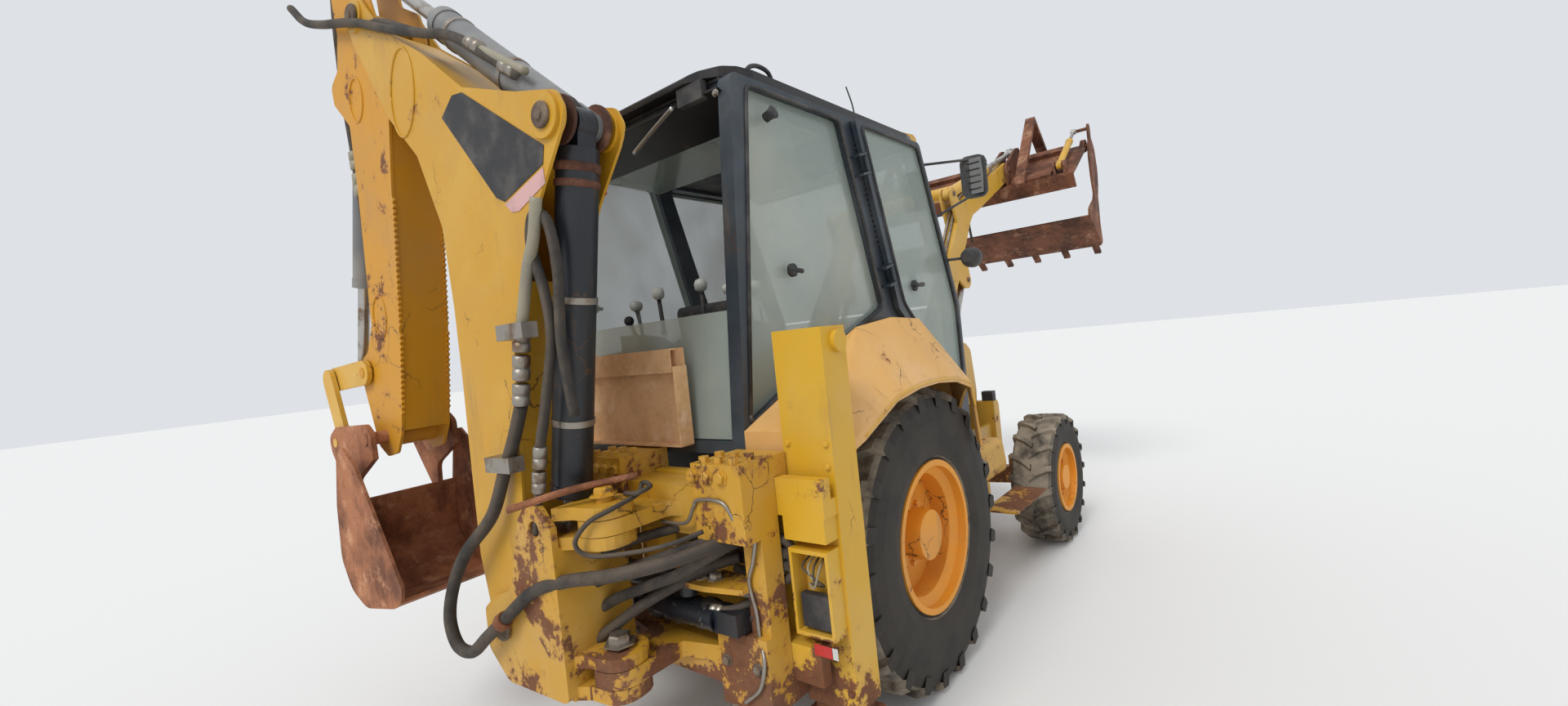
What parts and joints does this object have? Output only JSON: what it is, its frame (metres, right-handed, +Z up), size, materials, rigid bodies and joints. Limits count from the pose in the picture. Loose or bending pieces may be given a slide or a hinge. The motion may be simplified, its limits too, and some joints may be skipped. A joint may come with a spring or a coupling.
{
  "type": "backhoe loader",
  "caption": "Side-shift backhoe loader with cab, clam-front loader bucket with flip-over forks, folded backhoe and stabilizers, on four rubber tyres.",
  "frame": {"origin": "on the ground under the middle of the parked machine", "axes": "+X forward towards the loader bucket, +Y to the machine's left, +Z up"},
  "size_m": [5.656, 2.6849, 3.87],
  "materials": {
    "yellow_paint": "weathered",
    "black_paint": "satin",
    "worn_steel": "worn",
    "rusty_steel": "rusty",
    "tyre_rubber": "matte",
    "cab_glass": "polished",
    "trim_plastic": "matte",
    "cast_parts": "rough",
    "tan_sheet": "rusty",
    "cylinder_paint": "satin"
  },
  "bodies": {
    "machine": {"main_frame": "yellow_paint", "engine": "cast_parts", "axles": "cast_parts", "cab_frame": "black_paint", "cab_roof": "trim_plastic", "cab_windows": "cab_glass", "operator_station": "trim_plastic", "fenders": "yellow_paint", "side_tanks": "yellow_paint", "exhaust": "black_paint", "mirrors": "trim_plastic", "lamps": "yellow_paint", "rear_frame": "yellow_paint", "sheet_guard": "tan_sheet"},
    "hood": {"hood": "yellow_paint"},
    "knuckle_left": {"knuckle_left": "yellow_paint"},
    "knuckle_right": {"knuckle_right": "yellow_paint"},
    "front_wheel_left": {"tyre_front_left": "tyre_rubber", "rim_front_left": "yellow_paint"},
    "front_wheel_right": {"tyre_front_right": "tyre_rubber", "rim_front_right": "yellow_paint"},
    "rear_wheel_left": {"tyre_rear_left": "tyre_rubber", "rim_rear_left": "yellow_paint"},
    "rear_wheel_right": {"tyre_rear_right": "tyre_rubber", "rim_rear_right": "yellow_paint"},
    "door_left": {"door_left": "black_paint", "door_left_glass": "cab_glass"},
    "door_right": {"door_right": "black_paint", "door_right_glass": "cab_glass"},
    "stabilizer_left": {"stabilizer_left": "yellow_paint"},
    "stabilizer_right": {"stabilizer_right": "yellow_paint"},
    "loader_arms": {"loader_arms": "yellow_paint"},
    "lift_barrels": {"lift_barrels": "yellow_paint"},
    "lift_rods": {"lift_rods": "worn_steel"},
    "tilt_barrels": {"tilt_barrels": "yellow_paint"},
    "tilt_rods": {"tilt_rods": "worn_steel"},
    "loader_bucket": {"loader_bucket": "rusty_steel"},
    "bucket_clam": {"bucket_clam": "rusty_steel"},
    "clam_barrels": {"clam_barrels": "yellow_paint"},
    "clam_rods": {"clam_rods": "worn_steel"},
    "forks": {"forks": "rusty_steel"},
    "carriage": {"carriage": "yellow_paint", "swing_cylinders": "black_paint"},
    "kingpost": {"kingpost": "yellow_paint"},
    "boom": {"boom": "yellow_paint"},
    "boom_barrel": {"boom_barrel": "cylinder_paint"},
    "boom_rod": {"boom_rod": "worn_steel"},
    "stick": {"stick": "yellow_paint"},
    "stick_barrel": {"stick_barrel": "cylinder_paint"},
    "stick_rod": {"stick_rod": "worn_steel"},
    "hoe_barrel": {"hoe_barrel": "cylinder_paint"},
    "hoe_rod": {"hoe_rod": "worn_steel"},
    "hoe_lever": {"hoe_lever": "yellow_paint"},
    "hoe_link": {"hoe_link": "yellow_paint"},
    "hoe_bucket": {"hoe_bucket": "rusty_steel"}
  },
  "joints": [
    {"name": "hood_lift", "type": "hinge", "parent": "machine", "child": "hood", "pos_m": [0.26, -0.145, 1.6], "axis": [0, -1, 0], "range_deg": [0, 40]},
    {"name": "steer_left", "type": "hinge", "parent": "machine", "child": "knuckle_left", "pos_m": [1.185, 0.625, 0.48], "axis": [0, 0, 1], "range_deg": [-40, 40]},
    {"name": "front_wheel_left_spin", "type": "hinge", "parent": "knuckle_left", "child": "front_wheel_left", "pos_m": [1.185, 0.801, 0.48], "axis": [0, 1, 0], "continuous": true},
    {"name": "rear_wheel_left_spin", "type": "hinge", "parent": "machine", "child": "rear_wheel_left", "pos_m": [-1.015, 0.712, 0.72], "axis": [0, 1, 0], "continuous": true},
    {"name": "steer_right", "type": "hinge", "parent": "machine", "child": "knuckle_right", "pos_m": [1.185, -0.915, 0.48], "axis": [0, 0, 1], "range_deg": [-40.02, 40.02]},
    {"name": "front_wheel_right_spin", "type": "hinge", "parent": "knuckle_right", "child": "front_wheel_right", "pos_m": [1.185, -1.091, 0.48], "axis": [0, 1, 0], "continuous": true},
    {"name": "rear_wheel_right_spin", "type": "hinge", "parent": "machine", "child": "rear_wheel_right", "pos_m": [-1.015, -1.002, 0.72], "axis": [0, 1, 0], "continuous": true},
    {"name": "door_left_swing", "type": "hinge", "parent": "machine", "child": "door_left", "pos_m": [-0.779, 0.645, 2.3225], "axis": [-0.2727, 0, 0.9621], "range_deg": [0, 85]},
    {"name": "stabilizer_left_slide", "type": "slide", "parent": "machine", "child": "stabilizer_left", "axis": [0, 0, 1], "range_m": [-0.55, 0]},
    {"name": "door_right_swing", "type": "hinge", "parent": "machine", "child": "door_right", "pos_m": [-0.779, -0.935, 2.3225], "axis": [0.2727, 0, -0.9621], "range_deg": [0, 85]},
    {"name": "stabilizer_right_slide", "type": "slide", "parent": "machine", "child": "stabilizer_right", "axis": [0, 0, 1], "range_m": [-0.55, 0]},
    {"name": "loader_lift", "type": "hinge", "parent": "machine", "child": "loader_arms", "pos_m": [0.285, -0.145, 1.62], "axis": [0, -1, 0], "range_deg": [-73.5, 14]},
    {"name": "lift_barrel_turn", "type": "hinge", "parent": "machine", "child": "lift_barrels", "pos_m": [0.035, -0.145, 0.72], "axis": [0, -1, 0], "range_deg": [-30.71, 5.87]},
    {"name": "lift_rod_slide", "type": "slide", "parent": "lift_barrels", "child": "lift_rods", "axis": [0.5458, 0, 0.8379], "range_m": [-0.5818, 0.1112]},
    {"name": "bucket_dump", "type": "hinge", "parent": "loader_arms", "child": "loader_bucket", "pos_m": [2.0335, -0.145, 3.06135], "axis": [0, 1, 0], "range_deg": [-152, 0]},
    {"name": "tilt_barrel_turn", "type": "hinge", "parent": "loader_arms", "child": "tilt_barrels", "pos_m": [0.785, -0.145, 2.7], "axis": [0, -1, 0], "range_deg": [0, 5.04]},
    {"name": "tilt_rod_slide", "type": "slide", "parent": "tilt_barrels", "child": "tilt_rods", "axis": [0.9374, 0, 0.3482], "range_m": [-0.734, 0]},
    {"name": "clam_open", "type": "hinge", "parent": "loader_bucket", "child": "bucket_clam", "pos_m": [2.60121, -0.145, 3.22692], "axis": [0, -1, 0], "range_deg": [-25, 55]},
    {"name": "clam_barrel_turn", "type": "hinge", "parent": "loader_bucket", "child": "clam_barrels", "pos_m": [1.98272, -0.145, 2.97696], "axis": [0, -1, 0], "range_deg": [-1.15, 2.5]},
    {"name": "clam_rod_slide", "type": "slide", "parent": "clam_barrels", "child": "clam_rods", "axis": [0.8346, 0, 0.5509], "range_m": [-0.1385, 0.0632]},
    {"name": "fork_fold", "type": "hinge", "parent": "loader_bucket", "child": "forks", "pos_m": [2.74211, -0.145, 3.25233], "axis": [0, -1, 0], "range_deg": [-285, 0]},
    {"name": "side_shift", "type": "slide", "parent": "machine", "child": "carriage", "axis": [0, 1, 0], "range_m": [-0.11, 1.05]},
    {"name": "swing", "type": "hinge", "parent": "carriage", "child": "kingpost", "pos_m": [-2.435, -0.615, 0.85], "axis": [0, 0, 1], "range_deg": [-4, 176]},
    {"name": "boom_raise", "type": "hinge", "parent": "kingpost", "child": "boom", "pos_m": [-2.46779, -0.14614, 0.75], "axis": [0.9976, 0.0698, 0], "range_deg": [-110, 0]},
    {"name": "boom_barrel_turn", "type": "hinge", "parent": "boom", "child": "boom_barrel", "pos_m": [-2.42907, -0.69979, 2.56], "axis": [0.9976, 0.0698, 0], "range_deg": [-11.07, 0]},
    {"name": "boom_rod_slide", "type": "slide", "parent": "boom_barrel", "child": "boom_rod", "axis": [-0.0141, 0.201, -0.9795], "range_m": [0, 0.7593]},
    {"name": "stick_crowd", "type": "hinge", "parent": "boom", "child": "stick", "pos_m": [-2.51871, 0.58208, 3.38], "axis": [-0.9976, -0.0698, 0], "range_deg": [-115, 0]},
    {"name": "stick_barrel_turn", "type": "hinge", "parent": "boom", "child": "stick_barrel", "pos_m": [-2.42907, -0.69979, 2.56], "axis": [0.9976, 0.0698, 0], "range_deg": [0, 12.38]},
    {"name": "stick_rod_slide", "type": "slide", "parent": "stick_barrel", "child": "stick_rod", "axis": [-0.0539, 0.7708, 0.6348], "range_m": [-0.7074, 0]},
    {"name": "hoe_curl", "type": "hinge", "parent": "stick", "child": "hoe_bucket", "pos_m": [-2.53475, 0.81152, 1.475], "axis": [-0.9976, -0.0698, 0], "range_deg": [-85, 85]},
    {"name": "lever_turn", "type": "hinge", "parent": "stick", "child": "hoe_lever", "pos_m": [-2.54243, 0.92125, 1.79], "axis": [-0.9976, -0.0698, 0], "range_deg": [-85.02, 85.02]},
    {"name": "link_turn", "type": "hinge", "parent": "hoe_lever", "child": "hoe_link", "pos_m": [-2.56684, 1.2704, 1.772], "axis": [-0.9976, -0.0698, 0], "range_deg": [-85.02, 85.02]},
    {"name": "hoe_barrel_turn", "type": "hinge", "parent": "stick", "child": "hoe_barrel", "pos_m": [-2.53964, 0.88135, 3.15], "axis": [0.9976, 0.0698, 0], "range_deg": [-3.35, 3.35]},
    {"name": "hoe_rod_slide", "type": "slide", "parent": "hoe_barrel", "child": "hoe_rod", "axis": [-0.019, 0.2717, -0.9622], "range_m": [-0.403, 0.403]}
  ],
  "couplings": [
    {"joint": "steer_right", "follows": "steer_left", "ratio": 1},
    {"joint": "lift_barrel_turn", "follows": "loader_lift", "ratio": 0.41759},
    {"joint": "lift_rod_slide", "follows": "loader_lift", "m_per_rad": 0.45313},
    {"joint": "tilt_barrel_turn", "follows": "bucket_dump", "ratio": -0.033},
    {"joint": "tilt_rod_slide", "follows": "bucket_dump", "m_per_rad": 0.2765},
    {"joint": "clam_barrel_turn", "follows": "clam_open", "ratio": 0.04512},
    {"joint": "clam_rod_slide", "follows": "clam_open", "m_per_rad": -0.14375},
    {"joint": "boom_barrel_turn", "follows": "boom_raise", "ratio": 0.10048},
    {"joint": "boom_rod_slide", "follows": "boom_raise", "m_per_rad": -0.39524},
    {"joint": "stick_barrel_turn", "follows": "stick_crowd", "ratio": -0.10746},
    {"joint": "stick_rod_slide", "follows": "stick_crowd", "m_per_rad": 0.35217},
    {"joint": "lever_turn", "follows": "hoe_curl", "ratio": 1},
    {"joint": "link_turn", "follows": "hoe_curl", "ratio": -1},
    {"joint": "hoe_barrel_turn", "follows": "hoe_curl", "ratio": -0.03913},
    {"joint": "hoe_rod_slide", "follows": "hoe_curl", "m_per_rad": 0.27133}
  ]
}
